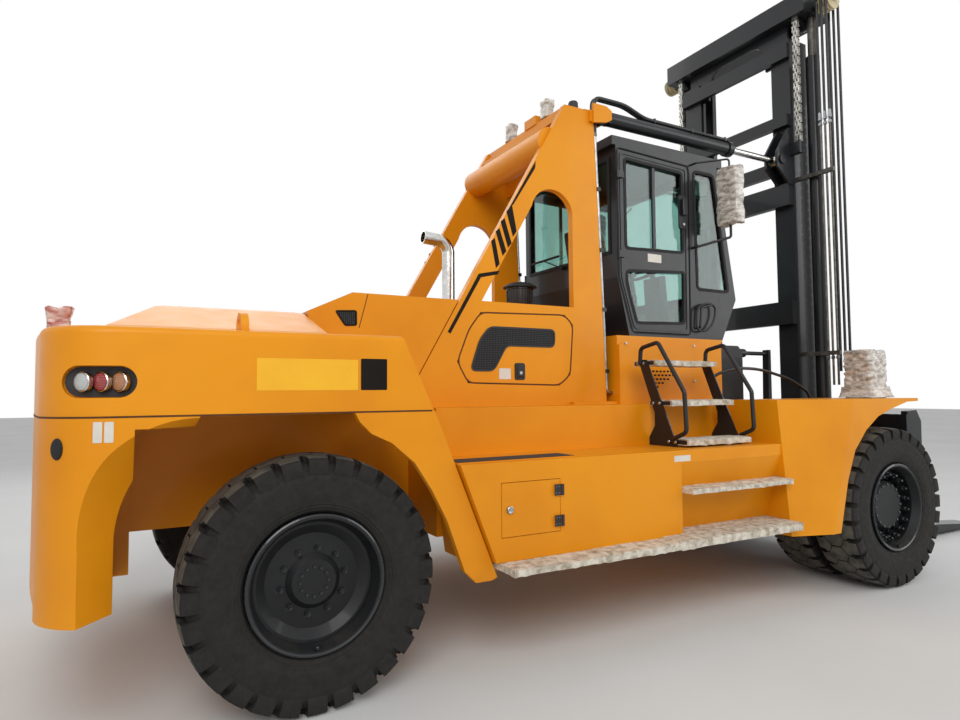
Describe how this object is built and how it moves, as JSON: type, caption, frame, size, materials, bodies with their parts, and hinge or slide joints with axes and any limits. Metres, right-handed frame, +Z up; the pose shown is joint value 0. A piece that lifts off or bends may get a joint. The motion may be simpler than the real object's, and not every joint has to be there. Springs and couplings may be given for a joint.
{
  "type": "forklift truck",
  "caption": "Heavy counterbalance diesel forklift with twin front tyres, high glazed cab behind a tall two-stage mast, window tower carrying overhead tilt cylinders, long forks.",
  "frame": {"origin": "middle of the bounding box in plan, at floor level, halfway between the tail and the fork tips", "axes": "+X forwards to the fork tips, +Y to the driver's left, +Z up"},
  "size_m": [9.71, 3.56, 5.84],
  "materials": {
    "yellow_paint": "gloss",
    "black_paint": "semi-gloss",
    "tyre": "matte",
    "chrome": "polished",
    "bright_steel": "satin",
    "tinted_glass": "clear",
    "black_plastic": "matte",
    "hose_rubber": "satin",
    "cream_plastic": "satin",
    "foam_wrap": "matte",
    "red_lens": "gloss",
    "lamp_grey": "gloss"
  },
  "bodies": {
    "chassis": {"air_cleaner": "black_plastic", "cab_glass": "tinted_glass", "cab_pedestal": "yellow_paint", "cab_roof": "black_paint", "cab_shell": "black_paint", "chassis_frame": "yellow_paint", "counterweight_lower": "yellow_paint", "counterweight_upper": "yellow_paint", "drive_axle": "black_paint", "driver_seat": "black_plastic", "engine_block": "black_paint", "exhaust_pipe": "chrome", "fenders": "yellow_paint", "front_lamps": "lamp_grey", "hood": "yellow_paint", "ladders": "black_paint", "mirrors": "black_paint", "radiator_cover": "yellow_paint", "side_tanks": "yellow_paint", "steer_beam": "black_paint", "steering_console": "black_plastic", "step_boards": "foam_wrap", "tail_lamps": "red_lens", "tower": "yellow_paint", "tower_pipes": "bright_steel", "valve_block": "black_paint"},
    "outer_mast": {"outer_mast": "black_paint", "lift_barrels": "black_paint", "mast_pipes": "bright_steel"},
    "inner_mast": {"inner_mast": "black_paint", "lift_rods": "chrome", "chain_pulleys": "black_paint", "lift_chains": "bright_steel", "hose_rollers": "cream_plastic", "mast_hoses": "hose_rubber"},
    "carriage": {"carriage": "black_paint"},
    "tank_door": {"tank_door": "yellow_paint"},
    "drive_wheels_right": {"drive_tyres_right": "tyre", "drive_rims_right": "black_paint"},
    "knuckle_right": {"knuckle_right": "black_paint"},
    "steer_wheel_right": {"steer_tyre_right": "tyre", "steer_rim_right": "black_paint"},
    "fork_right": {"fork_right": "black_paint"},
    "tilt_barrel_right": {"tilt_barrel_right": "black_paint"},
    "tilt_rod_right": {"tilt_rod_right": "chrome"},
    "cab_door_right": {"cab_door_right": "black_paint", "door_glass_right": "tinted_glass"},
    "engine_door_right": {"engine_door_right": "yellow_paint"},
    "drive_wheels_left": {"drive_tyres_left": "tyre", "drive_rims_left": "black_paint"},
    "knuckle_left": {"knuckle_left": "black_paint"},
    "steer_wheel_left": {"steer_tyre_left": "tyre", "steer_rim_left": "black_paint"},
    "fork_left": {"fork_left": "black_paint"},
    "tilt_barrel_left": {"tilt_barrel_left": "black_paint"},
    "tilt_rod_left": {"tilt_rod_left": "chrome"},
    "cab_door_left": {"cab_door_left": "black_paint", "door_glass_left": "tinted_glass"},
    "engine_door_left": {"engine_door_left": "yellow_paint"}
  },
  "joints": [
    {"name": "drive_spin_right", "type": "hinge", "parent": "chassis", "child": "drive_wheels_right", "pos_m": [1.53, -1.37, 0.6875], "axis": [0, 1, 0], "continuous": true},
    {"name": "steer_right", "type": "hinge", "parent": "chassis", "child": "knuckle_right", "pos_m": [-3.47, -1, 0.6875], "axis": [0, 0, 1], "range_deg": [-40, 40]},
    {"name": "steer_spin_right", "type": "hinge", "parent": "knuckle_right", "child": "steer_wheel_right", "pos_m": [-3.47, -1.3325, 0.6875], "axis": [0, 1, 0], "continuous": true},
    {"name": "cab_door_hinge_right", "type": "hinge", "parent": "chassis", "child": "cab_door_right", "pos_m": [-0.666, -0.738, 3.25], "axis": [0, 0, -1], "range_deg": [0, 90]},
    {"name": "engine_door_hinge_right", "type": "hinge", "parent": "chassis", "child": "engine_door_right", "pos_m": [-1.605, -0.692, 2.345], "axis": [-1, 0, 0], "range_deg": [0, 90]},
    {"name": "tilt_swing_right", "type": "hinge", "parent": "chassis", "child": "tilt_barrel_right", "pos_m": [-0.77, -0.65, 4.105], "axis": [0, -1, 0], "range_deg": [-0.5, 0.3]},
    {"name": "tilt_stroke_right", "type": "slide", "parent": "tilt_barrel_right", "child": "tilt_rod_right", "axis": [1, 0, 0], "range_m": [-0.5943, 0.3567]},
    {"name": "fork_shift_right", "type": "slide", "parent": "carriage", "child": "fork_right", "axis": [0, -1, 0], "range_m": [-0.25, 0.55]},
    {"name": "drive_spin_left", "type": "hinge", "parent": "chassis", "child": "drive_wheels_left", "pos_m": [1.53, 1.37, 0.6875], "axis": [0, 1, 0], "continuous": true},
    {"name": "steer_left", "type": "hinge", "parent": "chassis", "child": "knuckle_left", "pos_m": [-3.47, 1, 0.6875], "axis": [0, 0, 1], "range_deg": [-40, 40]},
    {"name": "steer_spin_left", "type": "hinge", "parent": "knuckle_left", "child": "steer_wheel_left", "pos_m": [-3.47, 1.3325, 0.6875], "axis": [0, 1, 0], "continuous": true},
    {"name": "cab_door_hinge_left", "type": "hinge", "parent": "chassis", "child": "cab_door_left", "pos_m": [-0.666, 0.738, 3.25], "axis": [0, 0, 1], "range_deg": [0, 90]},
    {"name": "engine_door_hinge_left", "type": "hinge", "parent": "chassis", "child": "engine_door_left", "pos_m": [-1.605, 0.692, 2.345], "axis": [1, 0, 0], "range_deg": [0, 90]},
    {"name": "tilt_swing_left", "type": "hinge", "parent": "chassis", "child": "tilt_barrel_left", "pos_m": [-0.77, 0.65, 4.105], "axis": [0, -1, 0], "range_deg": [-0.5, 0.3]},
    {"name": "tilt_stroke_left", "type": "slide", "parent": "tilt_barrel_left", "child": "tilt_rod_left", "axis": [1, 0, 0], "range_m": [-0.5943, 0.3567]},
    {"name": "fork_shift_left", "type": "slide", "parent": "carriage", "child": "fork_left", "axis": [0, 1, 0], "range_m": [-0.25, 0.55]},
    {"name": "tank_door_hinge", "type": "hinge", "parent": "chassis", "child": "tank_door", "pos_m": [-1.933, -1.607, 0.991], "axis": [0, 0, 1], "range_deg": [0, 110]},
    {"name": "mast_tilt", "type": "hinge", "parent": "chassis", "child": "outer_mast", "pos_m": [1.53, 0, 0.6875], "axis": [0, -1, 0], "range_deg": [-6, 10]},
    {"name": "mast_lift", "type": "slide", "parent": "outer_mast", "child": "inner_mast", "axis": [0, 0, 1], "range_m": [0, 2.5]},
    {"name": "carriage_lift", "type": "slide", "parent": "inner_mast", "child": "carriage", "axis": [0, 0, 1], "range_m": [0, 2.5]}
  ],
  "couplings": [
    {"joint": "steer_left", "follows": "steer_right", "ratio": 1},
    {"joint": "carriage_lift", "follows": "mast_lift", "ratio": 1},
    {"joint": "fork_shift_left", "follows": "fork_shift_right", "ratio": 1},
    {"joint": "tilt_swing_right", "follows": "mast_tilt", "ratio": -0.03},
    {"joint": "tilt_stroke_right", "follows": "mast_tilt", "m_per_rad": -3.404},
    {"joint": "tilt_swing_left", "follows": "mast_tilt", "ratio": -0.03},
    {"joint": "tilt_stroke_left", "follows": "mast_tilt", "m_per_rad": -3.404}
  ]
}
